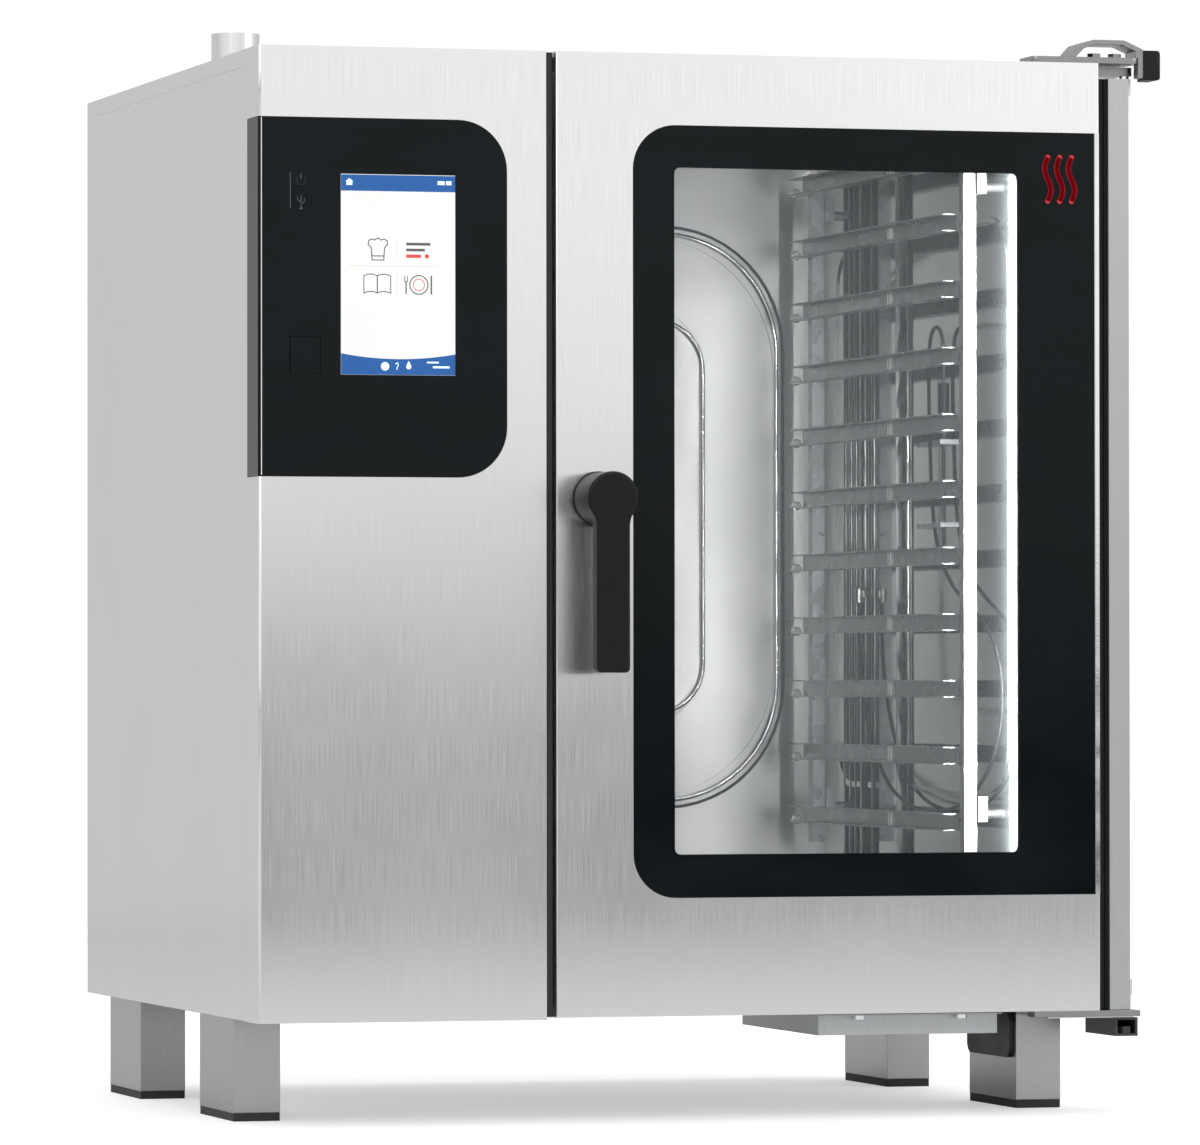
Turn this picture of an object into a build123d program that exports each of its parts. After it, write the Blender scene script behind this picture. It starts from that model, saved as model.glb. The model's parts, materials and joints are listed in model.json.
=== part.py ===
"""Countertop combi steamer oven with eleven rail levels and a door that slides back along its right side.

Every place is measured in millimetres from the datum corner, where the left side, the front face and
the floor meet, and moved from there to the part's own frame: +X right, +Y back, +Z up, with the origin
on the floor under the middle of the whole object.
"""
import os
from math import pi, radians, tan

from build123d import *

# ---- driving dimensions ----
cabinet_width, cabinet_depth, cabinet_height = 875, 792, 1058
cabinet_bottom = 102
handle_reach = 64
hinge_overhang = 63
sheet = 1.5
rail_levels, rail_pitch, lowest_rail = 11, 68, 291.5
tray_width_space = 330

# control panel on the left of the front
panel_width, panel_return = 292, 54
glass_right, glass_low, glass_high, glass_wrap, glass_corner = 252, 636, 988, 46, 50
screen_x, screen_z = (83, 199), (736, 933)
flap_x, flap_z = (31.6, 62.4), (737, 773)

# cooking chamber
chamber_x, chamber_y, chamber_z = (318, 812), (62, 735), (212, 1000)
mouth_left, chamber_corner = 392, 20
rack_middle = 602
rail_y, rail_height, rail_reach, post = (136, 661), 18, 18, 14
stud_radius, stud_y, stud_z = 5, (129, 640), (300, 940)
fan_y, fan_z, fan_radius, fan_x = 400, 606, 150, (332, 378)

# door
door_x, door_z = (302, 870), (104, 1058)
skin_depth, door_depth = 22, 55
pan_x, pan_z = (320, 866), (140, 1020)
door_glass_x, door_glass_z, door_glass_corner = (381, 865), (221, 987), 44
window_x, window_z = (424, 784), (264, 945)
inner_pane_x, inner_pane_z = (402, 806), (242, 967)
glass_thick = 6

# hinge, guide shoes and rails
hinge_x, hinge_y, pin_radius, pin_clearance = 908, 30, 5, 0.05
door_travel = 480
rail_half, rail_wall, rail_deep = 7.8, 2, 16
column_x, column_y, column_z = (881.5, 903.5), (4, 21), (104, 1043)
arm_top_z, arm_low_z = (1047.5, 1056), (95.8, 101.8)

# handle and latch
spindle_x, spindle_z, grip_end_z = 343, 615.7, 444
head_radius, rose_radius, grip_width, grip_thick = 26, 27.2, 34, 17
latch_travel, latch_gap = 8, 1.1

# legs
leg_x, leg_y_front, leg_y_rear, leg_width, leg_depth, pad_height = 4, 124, 547, 48, 148, 8

total_width = cabinet_width + hinge_overhang
datum_x, datum_y = -total_width / 2, handle_reach - (cabinet_depth + handle_reach) / 2


def at(x, y, z):
    """A place measured from the datum corner, in the part's own frame."""
    return Vector(x + datum_x, y + datum_y, z)


def block(x, y, z, mode=Mode.ADD):
    """A box between two places on each axis."""
    middle = at((x[0] + x[1]) / 2, (y[0] + y[1]) / 2, (z[0] + z[1]) / 2)
    with Locations(Location(middle)):
        return Box(x[1] - x[0], y[1] - y[0], z[1] - z[0], mode=mode)


def rod(place, radius, length, axis, mode=Mode.ADD):
    """A cylinder that starts at a place and runs along an axis."""
    with Locations(Plane(origin=at(*place), z_dir=axis).location):
        return Cylinder(radius, length, align=(Align.CENTER, Align.CENTER, Align.MIN), mode=mode)


def front_plate(x, z, y, radius, mode=Mode.ADD):
    """A plate that faces the front, with rounded corners, between two depths."""
    face = Plane(origin=at((x[0] + x[1]) / 2, y[0], (z[0] + z[1]) / 2), x_dir=(1, 0, 0), z_dir=(0, 1, 0))
    with BuildSketch(face) as outline:
        RectangleRounded(x[1] - x[0], z[1] - z[0], radius)
    return extrude(outline.sketch, amount=y[1] - y[0], mode=mode)


def side_plate(y, z, x, radius, mode=Mode.ADD):
    """A plate that faces the side, with rounded corners, between two places across."""
    face = Plane(origin=at(x[0], (y[0] + y[1]) / 2, (z[0] + z[1]) / 2), x_dir=(0, 1, 0), z_dir=(1, 0, 0))
    with BuildSketch(face) as outline:
        RectangleRounded(y[1] - y[0], z[1] - z[0], radius)
    return extrude(outline.sketch, amount=x[1] - x[0], mode=mode)


def inset(span, by):
    """A span made shorter at both ends."""
    return (span[0] + by, span[1] - by)


def save(builder, name):
    """Labels a finished piece and writes it."""
    builder.part.label = name
    export_step(builder.part, f"parts/{name}.step")


os.makedirs("parts", exist_ok=True)
up, down, right, back, front = (0, 0, 1), (0, 0, -1), (1, 0, 0), (0, 1, 0), (0, -1, 0)
panel_z = (cabinet_bottom, cabinet_height)
cover_band = 17
side_y = (panel_return + 0.5, cabinet_depth)
side_z = (cabinet_bottom, cabinet_height - cover_band)
rear_y = cabinet_depth - 16
frame_y = (60, chamber_y[0])
body_x = (sheet, cabinet_width - sheet)

# ---- legs, pads and base ----
leg_corners = [
    (x, y)
    for x in (leg_x, cabinet_width - leg_x - leg_width)
    for y in (leg_y_front, leg_y_rear)
]
leg_wall, plug_gap, plug_height = 2, 0.3, 12
with BuildPart() as legs:
    for x, y in leg_corners:
        block((x, x + leg_width), (y, y + leg_depth), (pad_height, cabinet_bottom))
        inside_x, inside_y = inset((x, x + leg_width), leg_wall), inset((y, y + leg_depth), leg_wall)
        block(inside_x, inside_y, (pad_height, cabinet_bottom - leg_wall), Mode.SUBTRACT)
save(legs, "legs")

with BuildPart() as foot_pads:
    for x, y in leg_corners:
        block(inset((x, x + leg_width), 0.5), inset((y, y + leg_depth), 0.5), (0, pad_height))
        plug_x = inset((x, x + leg_width), leg_wall + plug_gap)
        plug_y = inset((y, y + leg_depth), leg_wall + plug_gap)
        block(plug_x, plug_y, (pad_height, pad_height + plug_height))
save(foot_pads, "foot_pads")

drain_x, drain_y, drain_radius, drain_low, spigot = 740, 420, 25, 66, 40
gland_x, inlet_x, rear_fitting_z = 120, (200, 260), 150
with BuildPart() as base_pan:
    block(body_x, (side_y[0], rear_y - 0.5), (cabinet_bottom, cabinet_bottom + sheet))
    rod((drain_x, drain_y, cabinet_bottom), drain_radius + 2, 2 * sheet, up, Mode.SUBTRACT)
save(base_pan, "base_pan")

cover_y, cover_z, cover_corner = inset((leg_y_front, leg_y_front + leg_depth), 7), (51, 98), 12
cover_x = cabinet_width - leg_x - leg_width
with BuildPart() as leg_cover:
    side_plate(cover_y, cover_z, (cover_x - 5, cover_x), cover_corner)
save(leg_cover, "leg_cover")

box_x, box_y, box_z = (591, 781), (60, 320), (80, 100)
with BuildPart() as underside_box:
    block(box_x, box_y, box_z)
    block(inset(box_x, sheet), inset(box_y, sheet), (box_z[0] + sheet, box_z[1]), Mode.SUBTRACT)
    block(box_x, (44, box_y[1] + 16), (box_z[1], cabinet_bottom))
    block(inset(box_x, sheet), inset(box_y, sheet), (box_z[1], cabinet_bottom), Mode.SUBTRACT)
save(underside_box, "underside_box")

bolt_radius, bolt_height = 6, 4
with BuildPart() as underside_box_bolts:
    for x in inset(box_x, 41):
        for y in (52, box_y[1] + 8):
            rod((x, y, box_z[1]), bolt_radius, bolt_height, down)
save(underside_box_bolts, "underside_box_bolts")

# ---- outer panels ----
with BuildPart() as left_side_panel:
    block((0, sheet), side_y, side_z)
save(left_side_panel, "left_side_panel")

with BuildPart() as right_side_panel:
    block((cabinet_width - sheet, cabinet_width), (frame_y[0], cabinet_depth), side_z)
save(right_side_panel, "right_side_panel")

vent_radius, vent_tail_radius, vent_top, vent_wall = 24.5, 23.6, 1093, 1.5
vent_places = ((48, 300), (330, 640))
with BuildPart() as top_cover:
    block((0, cabinet_width), side_y, (side_z[1], cabinet_height))
    block(body_x, (side_y[0], cabinet_depth - sheet), (side_z[1], cabinet_height - sheet), Mode.SUBTRACT)
    block((panel_width, cabinet_width), (side_y[0], frame_y[0]), (side_z[1], cabinet_height), Mode.SUBTRACT)
    for x, y in vent_places:
        rod((x, y, side_z[1]), vent_tail_radius + 0.3, 2 * cover_band, up, Mode.SUBTRACT)
save(top_cover, "top_cover")

with BuildPart() as vent_pipes:
    for x, y in vent_places:
        rod((x, y, side_z[1] - 20), vent_tail_radius, cover_band + 20, up)
        rod((x, y, cabinet_height), vent_radius, vent_top - cabinet_height, up)
        rod((x, y, side_z[1] - 30), vent_radius - vent_wall, 100, up, Mode.SUBTRACT)
save(vent_pipes, "vent_pipes")

thread_radius, inlet_tube_radius, gland_radius = 13.2, 11.5, 16
# The rear wall is one sheet above the fittings and short plates between them, each at its own place.
fitting_slots = [(gland_x, gland_radius + 1)] + [(x, thread_radius + 1) for x in inlet_x]
plates_top = rear_fitting_z + gland_radius + 1
plate_starts = [body_x[0]] + [x + half for x, half in fitting_slots]
plate_ends = [x - half for x, half in fitting_slots] + [body_x[1]]
rear_sheets = []
for span, tall in [(body_x, (plates_top, side_z[1]))] + [
    (span, (cabinet_bottom, plates_top)) for span in zip(plate_starts, plate_ends)
]:
    with BuildPart() as rear_sheet:
        block(span, (rear_y, rear_y + sheet), tall)
    rear_sheets.append(rear_sheet.part)
export_step(Compound(label="rear_panel", children=rear_sheets), "parts/rear_panel.step")

with BuildPart() as water_inlets:
    for x in inlet_x:
        rod((x, rear_y - 60, rear_fitting_z), inlet_tube_radius, 60 + sheet, back)
        rod((x, rear_y + sheet, rear_fitting_z), thread_radius, 12.5, back)
        block((x - 20, x + 20), (rear_y - 100, rear_y - 40), (rear_fitting_z - 20, rear_fitting_z + 30))
        rod((x, rear_y - 30, rear_fitting_z), 9, 60, back, Mode.SUBTRACT)
save(water_inlets, "water_inlets")

with BuildPart() as cable_gland:
    rod((gland_x, rear_y - 12, rear_fitting_z), gland_radius, 26, back)
    rod((gland_x, rear_y + sheet, rear_fitting_z), 18, 8, back)
    rod((gland_x, rear_y - 13, rear_fitting_z), 9, 40, back, Mode.SUBTRACT)
save(cable_gland, "cable_gland")

# ---- control panel ----
with BuildPart() as control_panel:
    block((0, panel_width), (0, panel_return), panel_z)
    front_left = control_panel.edges().filter_by(Axis.Z).sort_by(Axis.X)[:2].sort_by(Axis.Y)[:1]
    fillet(front_left, 3)
    block(inset((0, panel_width), sheet), (sheet, panel_return), inset(panel_z, sheet), Mode.SUBTRACT)
    front_plate((-60, glass_right), (glass_low, glass_high), (-5, 20), glass_corner, Mode.SUBTRACT)
    block((-5, 20), (-5, glass_wrap), (glass_low, glass_high), Mode.SUBTRACT)
    block((panel_width, panel_width + 1), (24, 50), (spindle_z - 30, spindle_z + 30))
save(control_panel, "control_panel")

bezel, bezel_proud, fit_gap = 3.5, 1, 0.3
bezel_z = inset((glass_low, glass_high), fit_gap)
screen_span, flap_depth = 3, (-bezel_proud, 1.5)
with BuildPart() as control_glass:
    front_plate((-60, glass_right - fit_gap), bezel_z, (-bezel_proud, bezel - bezel_proud), glass_corner)
    block((-70, 0), (-5, 5), (glass_low - 5, glass_high + 5), Mode.SUBTRACT)
    block((0, bezel), (-bezel_proud, glass_wrap - fit_gap), bezel_z)
    block(screen_x, (-5, 5), screen_z, Mode.SUBTRACT)
    block(flap_x, (-5, 5), flap_z, Mode.SUBTRACT)
    corner = control_glass.edges().filter_by(Axis.Z).sort_by(Axis.X)[:3].sort_by(Axis.Y)[:1]
    fillet(corner, 2.5)
save(control_glass, "control_glass")

with BuildPart() as touch_screen:
    block(inset(screen_x, 0.2), (-bezel_proud, bezel - bezel_proud), inset(screen_z, 0.2))
save(touch_screen, "touch_screen")

with BuildPart() as display_module:
    block(inset(screen_x, -8), (bezel, 24), inset(screen_z, -8))
    block(inset(screen_x, -14), (30, 32), (700, 946))
    for x in (90, 120, 150, 180):
        block((x, x + 14), (32, 42), (720, 750))
    for x in (80, 200):
        for z in (728, 938):
            rod((x, 24, z), 3, 6, back)
save(display_module, "display_module")

flap_half = (flap_depth[1] - flap_depth[0]) / 2
barrel_x, barrel_y = flap_x[0] + 0.4 + flap_half, flap_depth[0] + flap_half
with BuildPart() as usb_flap:
    block((barrel_x, flap_x[1] - 0.4), flap_depth, inset(flap_z, 0.4))
    rod((barrel_x, barrel_y, flap_z[0] + 0.4), flap_half, flap_z[1] - flap_z[0] - 0.8, up)
    fillet(usb_flap.edges().filter_by(Axis.Y).sort_by(Axis.X)[-2:], 2)
save(usb_flap, "usb_flap")

slot_x, slot_z = (41, 56), (750, 758)
with BuildPart() as usb_socket:
    block((flap_x[0] - 6, flap_x[1] + 4), (bezel - bezel_proud + 0.1, 28), (flap_z[0] - 4, flap_z[1] + 4))
    block((flap_x[0] - 2, flap_x[1] + 1), (0, 8), (flap_z[0] + 1, flap_z[1] - 1), Mode.SUBTRACT)
    block(slot_x, (5, 24), slot_z, Mode.SUBTRACT)
    block(inset(slot_x, 1.5), (9, 22), (slot_z[0] + 4, slot_z[1] - 2))
save(usb_socket, "usb_socket")

# ---- frame and cooking chamber ----
with BuildPart() as front_frame:
    block((panel_width - sheet, cabinet_width - sheet), frame_y, (cabinet_bottom + sheet, side_z[1]))
    mouth_x = (mouth_left, chamber_x[1])
    front_plate(mouth_x, chamber_z, (frame_y[0] - 1, frame_y[1] + 1), chamber_corner, Mode.SUBTRACT)
save(front_frame, "front_frame")

shaft_radius, shaft_hole = 10, 14
with BuildPart() as cavity_liner:
    shell_y = (chamber_y[0], chamber_y[1] + sheet)
    front_plate(inset(chamber_x, -sheet), inset(chamber_z, -sheet), shell_y, chamber_corner + sheet)
    front_plate(chamber_x, chamber_z, (chamber_y[0] - 1, chamber_y[1]), chamber_corner, Mode.SUBTRACT)
    rod((chamber_x[0] - 5, fan_y, fan_z), shaft_hole, 10, right, Mode.SUBTRACT)
    rod((drain_x, drain_y, chamber_z[0] + 5), drain_radius - 1, 10, down, Mode.SUBTRACT)
    for half_width, low, high, radius in ((157, 304, 925, 150), (73, 384, 848, 66)):
        span, tall = (rack_middle - half_width, rack_middle + half_width), (low, high)
        depth = (chamber_y[1] - 3, chamber_y[1])
        front_plate(span, tall, depth, radius)
        front_plate(inset(span, 5), inset(tall, 5), depth, radius - 5, Mode.SUBTRACT)
    bead_y, bead_z, bead_x = (110, 690), (321, 912), (chamber_x[1] - 2, chamber_x[1])
    side_plate(bead_y, bead_z, bead_x, 60)
    side_plate(inset(bead_y, 6), inset(bead_z, 6), bead_x, 54, Mode.SUBTRACT)
save(cavity_liner, "cavity_liner")

wool_gap = 0.5
with BuildPart() as cavity_insulation:
    block((panel_width + 2, cabinet_width - 3), (frame_y[1] + 1, rear_y - 1), (cabinet_bottom + 3, 1040))
    block(
        inset(chamber_x, -sheet - wool_gap),
        (chamber_y[0] - 5, chamber_y[1] + sheet + wool_gap),
        inset(chamber_z, -sheet - wool_gap),
        Mode.SUBTRACT,
    )
    rod((panel_width - 5, fan_y, fan_z), 22, 60, right, Mode.SUBTRACT)
    rod((drain_x, drain_y, cabinet_bottom), drain_radius + 2, 140, up, Mode.SUBTRACT)
    rod((vent_places[1][0], vent_places[1][1], 980), vent_radius + 2, 90, up, Mode.SUBTRACT)
save(cavity_insulation, "cavity_insulation")

gasket_wide, gasket_proud = 14, 4.7
with BuildPart() as door_gasket:
    outer_x, outer_z = inset(mouth_x, -gasket_wide - 2), inset(chamber_z, -gasket_wide - 2)
    depth = (frame_y[0] - gasket_proud, frame_y[0])
    front_plate(outer_x, outer_z, depth, chamber_corner + gasket_wide)
    front_plate(inset(mouth_x, -2), inset(chamber_z, -2), depth, chamber_corner, Mode.SUBTRACT)
save(door_gasket, "door_gasket")

wall_x = (panel_width - sheet, panel_width)
with BuildPart() as compartment_wall:
    block(wall_x, (frame_y[1], rear_y - 1), (cabinet_bottom + sheet, 1040))
    rod((wall_x[0] - 5, fan_y, fan_z), 24, 12, right, Mode.SUBTRACT)
save(compartment_wall, "compartment_wall")

# ---- fan, motor, heater and suction panel ----
panel_x, panel_y, panel_span_z = (mouth_left - 2, mouth_left - 0.5), (100, 700), (250, 960)
inlet_radius = 105
with BuildPart() as suction_panel:
    side_plate(panel_y, panel_span_z, panel_x, 30)
    rod((panel_x[0] - 5, fan_y, fan_z), inlet_radius, 12, right, Mode.SUBTRACT)
    for radius in (30, 60, 90):
        rod((panel_x[0], fan_y, fan_z), radius + 3, sheet, right)
        rod((panel_x[0], fan_y, fan_z), radius, sheet, right, Mode.SUBTRACT)
    for turn in range(4):
        inlet_face = Plane(origin=at(panel_x[0], fan_y, fan_z), x_dir=(0, 1, 0), z_dir=(1, 0, 0))
        with BuildSketch(inlet_face.rotated((45 * turn, 0, 0))):
            Rectangle(2 * inlet_radius + 2, 4)
        extrude(amount=sheet)
    for y in (panel_y[0] + 22, panel_y[1] - 28):
        for row in range(9):
            z = panel_span_z[0] + 60 + 68 * row
            block((panel_x[0] - 5, panel_x[1] + 5), (y, y + 6), (z, z + 50), Mode.SUBTRACT)
    for y in inset(panel_y, 50):
        for z in inset(panel_span_z, 25):
            rod((chamber_x[0], y, z), 6, panel_x[0] - chamber_x[0], right)
save(suction_panel, "suction_panel")

blade_count, blade_inner, blade_x = 24, 96, (fan_x[0] + 2, fan_x[1] - 2)
with BuildPart() as fan_wheel:
    rod((fan_x[0], fan_y, fan_z), fan_radius, 2, right)
    rod((fan_x[0] + 2, fan_y, fan_z), 26, 34, right)
    rod((fan_x[1] - 2, fan_y, fan_z), fan_radius, 2, right)
    rod((fan_x[1] - 2, fan_y, fan_z), fan_radius - 30, 2, right, Mode.SUBTRACT)
    blade_middle = (blade_inner + fan_radius) / 2 - 1
    hub = Plane(origin=at(blade_x[0], fan_y, fan_z), x_dir=(0, 1, 0), z_dir=(1, 0, 0))
    with BuildSketch(hub):
        with PolarLocations(blade_middle, blade_count):
            Rectangle(fan_radius - blade_inner - 2, 2, rotation=28)
    extrude(amount=blade_x[1] - blade_x[0])
    rod((fan_x[0] - 1, fan_y, fan_z), shaft_radius, 60, right, Mode.SUBTRACT)
save(fan_wheel, "fan_wheel")

motor_x, motor_radius, shaft_end = (150, 286), 75, fan_x[0] + 40
with BuildPart() as fan_shaft:
    rod((motor_x[0] + 12, fan_y, fan_z), shaft_radius, shaft_end - motor_x[0] - 12, right)
save(fan_shaft, "fan_shaft")

with BuildPart() as fan_motor:
    rod((motor_x[0], fan_y, fan_z), motor_radius, motor_x[1] - motor_x[0], right)
    for turn in range(16):
        rib = Plane(origin=at(motor_x[0] + 20, fan_y, fan_z), x_dir=(0, 1, 0), z_dir=(1, 0, 0))
        with BuildSketch(rib.rotated((22.5 * turn, 0, 0))):
            with Locations((motor_radius + 3, 0)):
                Rectangle(10, 3)
        extrude(amount=96)
    block((motor_x[1], wall_x[0]), (fan_y - 70, fan_y + 70), (fan_z - 70, fan_z + 70))
    bore = shaft_radius + pin_clearance
    rod((motor_x[0] + 11, fan_y, fan_z), bore, 200, right, Mode.SUBTRACT)
save(fan_motor, "fan_motor")

heater_radius, heater_tube = 185, 4.2
with BuildPart() as heater_rings:
    for x in (340, 355, 370):
        with Locations(Plane(origin=at(x, fan_y, fan_z), z_dir=right).location):
            Torus(heater_radius, heater_tube)
save(heater_rings, "heater_rings")

# ---- drain ----
with BuildPart() as drain_sieve:
    rod((drain_x, drain_y, chamber_z[0]), drain_radius + 6, 3, up)
    with Locations(Location(at(drain_x, drain_y, chamber_z[0] + 1.5))):
        with PolarLocations(16, 8):
            Cylinder(4, 6, mode=Mode.SUBTRACT)
save(drain_sieve, "drain_sieve")

with BuildPart() as drain_pipe:
    rod((drain_x, drain_y, drain_low), drain_radius, spigot, up)
    upper_length = chamber_z[0] - sheet - drain_low - spigot
    rod((drain_x, drain_y, drain_low + spigot), drain_radius - 1, upper_length, up)
    rod((drain_x, drain_y, drain_low - 1), drain_radius - 3, 200, up, Mode.SUBTRACT)
save(drain_pipe, "drain_pipe")


# ---- hang-in racks and their studs ----
def rack(side, name):
    """One rack of U rails on two posts with hooks; side is +1 on the right and -1 on the left."""

    def across(near, far):
        return tuple(sorted((rack_middle + side * near, rack_middle + side * far)))

    web = tray_width_space / 2
    wall_gap = chamber_x[1] - rack_middle
    flange, half = 1.5, rail_height / 2
    rail_parts, post_parts = [], []
    for level in range(rail_levels):
        z = lowest_rail + rail_pitch * level
        for span, tall in (
            (across(web - flange, web), (z - half, z + half)),
            (across(web - rail_reach, web - flange), (z - half, z - half + flange)),
            (across(web - rail_reach, web - flange), (z + half - flange, z + half)),
        ):
            with BuildPart() as strip:
                block(span, rail_y, tall)
            rail_parts.append(strip.part)
    for y in stud_y:
        with BuildPart() as upright:
            tall = (lowest_rail - 30, lowest_rail + rail_pitch * (rail_levels - 1) + 14)
            block(across(web, web + post), (y - post / 2, y + post / 2), tall)
        post_parts.append(upright.part)
        for z in stud_z:
            with BuildPart() as hook:
                block(across(web + post, web + post + 10), (y - 11, y + 11), (z - 8, z + 18))
                slot = across(web + post - 1, wall_gap - 5)
                reach = stud_radius + 0.3
                block(slot, (y - reach, y + reach), (z - 9, z), Mode.SUBTRACT)
                rod((slot[0], y, z), reach, slot[1] - slot[0], right, Mode.SUBTRACT)
            post_parts.append(hook.part)
    assembly = Compound(label=name, children=rail_parts + post_parts)
    export_step(assembly, f"parts/{name}.step")


rack(1, "right_rack")
rack(-1, "left_rack")

# ---- core probe, its holder and its lead ----
cable_radius, cable_x = 2, 799
cable_route = [
    (281, 745), (281, 764), (282, 786), (288, 798), (298.5, 804.5), (310.5, 804.5), (321, 798), (327, 786),
    (329, 766), (329.5, 743), (328, 714), (325, 680), (322, 640), (314, 598), (291, 560), (252, 533),
    (205, 515), (158, 499), (116, 474), (94, 437), (97, 394), (122, 356), (163, 329), (211, 311),
    (262, 302), (315, 299), (369, 301), (421, 309), (469, 326), (510, 355), (541, 394), (561, 438),
    (568, 480), (568, 520),
]
probe_y, probe_handle_z, cable_exit_z = cable_route[0][0], (686.5, 745), cable_route[-1][1]
route_points = [at(cable_x, y, z) for y, z in cable_route]
runs = [route_points[i + 1] - route_points[i] for i in range(len(route_points) - 1)]
bend_radii = []
for before, after in zip(runs, runs[1:]):
    half_turn = radians(before.get_angle(after) / 2)
    bend_radii.append(0.45 * min(before.length, after.length) / tan(half_turn))
print("lead radii", [round(radius) for radius in bend_radii], "tightest", round(min(bend_radii), 1))

with BuildPart() as core_probe_cable:
    with BuildLine() as lead_path:
        FilletPolyline(*route_points, radius=bend_radii)
    with BuildSketch(Plane(origin=route_points[0], z_dir=runs[0].normalized())):
        Circle(cable_radius)
    sweep(path=lead_path.wire())
lead_volume = pi * cable_radius**2 * lead_path.wire().length
volume_share = core_probe_cable.part.volume / lead_volume
print("lead length", round(lead_path.wire().length), "volume share", round(volume_share, 4))
save(core_probe_cable, "core_probe_cable")

with BuildPart() as core_probe:
    rod((cable_x, probe_y, probe_handle_z[0]), 6, probe_handle_z[1] - probe_handle_z[0], up)
    rod((cable_x, probe_y, probe_handle_z[0] - 110), 2, 110, up)
save(core_probe, "core_probe")

clip_levels, clip_thick, clip_front, clip_back = (598, 684), 5, (probe_y - 10, 296), 390
with BuildPart() as chamber_fittings:
    stud_near = tray_width_space / 2 + post + 1
    for y in stud_y:
        for z in stud_z:
            rod((rack_middle + stud_near, y, z), stud_radius, chamber_x[1] - rack_middle - stud_near, right)
            rod((panel_x[1], y, z), stud_radius, rack_middle - stud_near - panel_x[1], right)
    for z in clip_levels:
        tall = (z - clip_thick / 2, z + clip_thick / 2)
        block((cable_x - 7, chamber_x[1]), clip_front, tall)
        block((cable_x + 6, chamber_x[1]), (clip_front[1], clip_back), tall)
        rod((cable_x, probe_y, z - 5), 2.3, 10, up, Mode.SUBTRACT)
save(chamber_fittings, "chamber_fittings")

gland_y, gland_radius, gland_length = cable_route[-1][0], 4.5, 15
with BuildPart() as lead_gland:
    rod((cable_x, gland_y, cable_exit_z), gland_radius, gland_length, up)
    block((cable_x, chamber_x[1]), (gland_y - 3.5, gland_y + 3.5), (cable_exit_z + 6, cable_exit_z + 13))
save(lead_gland, "lead_gland")

# ---- fixed hinge parts ----
arm_edge = 7.5
with BuildPart() as top_hinge_arm:
    block((840, hinge_x - 0.5), (hinge_y - arm_edge, frame_y[0]), arm_top_z)
    rod((hinge_x, hinge_y, arm_top_z[0]), arm_edge, arm_top_z[1] - arm_top_z[0], up)
    block((840, 872), (frame_y[0] - 3, frame_y[0]), (1022, arm_top_z[0]))
    rod((hinge_x, hinge_y, 1040), pin_radius + pin_clearance, 30, up, Mode.SUBTRACT)
save(top_hinge_arm, "top_hinge_arm")

arm_back = 118
with BuildPart() as bottom_hinge_arm:
    block((822, hinge_x), (hinge_y - arm_edge, arm_back), arm_low_z)
    block((hinge_x, hinge_x + arm_edge), (hinge_y, arm_back), arm_low_z)
    rod((hinge_x, hinge_y, arm_low_z[0]), arm_edge, arm_low_z[1] - arm_low_z[0], up)
    rod((hinge_x, hinge_y, 90), pin_radius + pin_clearance, 30, up, Mode.SUBTRACT)
save(bottom_hinge_arm, "bottom_hinge_arm")

channel_x, channel_y, channel_z = (893, 917), (20, 110), (77, arm_low_z[0])
with BuildPart() as bottom_hinge_channel:
    block(channel_x, channel_y, channel_z)
    block(inset(channel_x, 2.5), (channel_y[0] - 1, channel_y[1] - 3), inset(channel_z, 2.5), Mode.SUBTRACT)
    rod((hinge_x, hinge_y, channel_z[1] - 5), pin_radius + 2, 8, up, Mode.SUBTRACT)
    with BuildSketch(Plane(origin=at(hinge_x - 2, hinge_y, channel_z[0] + 2.5), z_dir=up)):
        RegularPolygon(8, 6)
    extrude(amount=7)
save(bottom_hinge_channel, "bottom_hinge_channel")

# ---- guide shoes ----
guide_top_z, guide_low_z = (1028, 1028 + rail_deep), (134 - rail_deep, 134)
shoe_radius = rail_half - rail_wall - 0.3
with BuildPart() as guide_shoes:
    rod((hinge_x, hinge_y, guide_top_z[0] + 3), shoe_radius, rail_deep - 4, up)
    rod((hinge_x, hinge_y, guide_top_z[1] - 1), pin_radius, arm_top_z[1] - guide_top_z[1] + 1, up)
    rod((hinge_x, hinge_y, guide_low_z[0] + 1), shoe_radius, rail_deep - 4, up)
    rod((hinge_x, hinge_y, arm_low_z[0]), pin_radius, guide_low_z[0] + 1 - arm_low_z[0], up)
save(guide_shoes, "guide_shoes")

# ---- sliding door ----
skin = 1.2
with BuildPart() as door_skin:
    block(door_x, (0, skin_depth), door_z)
    rim = door_skin.edges().filter_by(Axis.Z).sort_by(Axis.Y)[:2]
    fillet(rim, 1.1)
    block(inset(door_x, skin), (skin, skin_depth), inset(door_z, skin), Mode.SUBTRACT)
    front_plate(door_glass_x, door_glass_z, (-1, skin + 1), door_glass_corner, Mode.SUBTRACT)
    block((700, door_glass_x[1]), (-1, skin + 1), door_glass_z, Mode.SUBTRACT)
    rod((spindle_x, -1, spindle_z), 6, 4, back, Mode.SUBTRACT)
save(door_skin, "door_skin")

bar = 28
with BuildPart() as door_subframe:
    block(inset(door_x, skin), (glass_thick + 0.5, skin_depth), inset(door_z, skin))
    block((382, 846), (0, 30), (door_z[0] + skin + bar, door_z[1] - skin - bar), Mode.SUBTRACT)
    rod((spindle_x, 0, spindle_z), 7, 30, back, Mode.SUBTRACT)
save(door_subframe, "door_subframe")

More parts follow.
